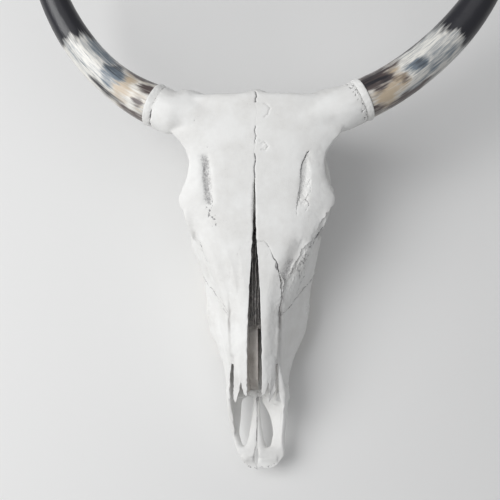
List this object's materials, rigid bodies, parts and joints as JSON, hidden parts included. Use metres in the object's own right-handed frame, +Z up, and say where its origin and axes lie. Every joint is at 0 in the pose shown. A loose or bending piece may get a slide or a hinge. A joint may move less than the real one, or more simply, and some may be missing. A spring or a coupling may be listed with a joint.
{
  "type": "cow skull",
  "caption": "Cow skull without its lower jaw, long and tapering, with curved tapering horns on rough collars, open eye sockets, a split nasal roof with forked tips and worn cheek teeth.",
  "frame": {"origin": "on the surface the skull lies on, under the middle of its bounding box", "axes": "+Z up, nose towards -Y, the animal's left towards +X; forehead and nose line slope down 16 degrees towards the nose"},
  "size_m": [0.6446, 0.7686, 0.313],
  "materials": {
    "bone": "bleached dry bone, matte, faintly chalky",
    "inner_bone": "unbleached dusty bone inside the nose",
    "horn": "polished horn, streaked black, slate, cream and tan"
  },
  "bodies": {
    "root": {"cranium": "bone", "nasal_left": "bone", "nasal_right": "bone", "maxilla_left": "bone", "maxilla_right": "bone", "incisive_left": "bone", "incisive_right": "bone", "horn_collar_left": "bone", "horn_collar_right": "bone", "vomer": "inner_bone", "horn_left": "horn", "horn_right": "horn"}
  },
  "joints": []
}
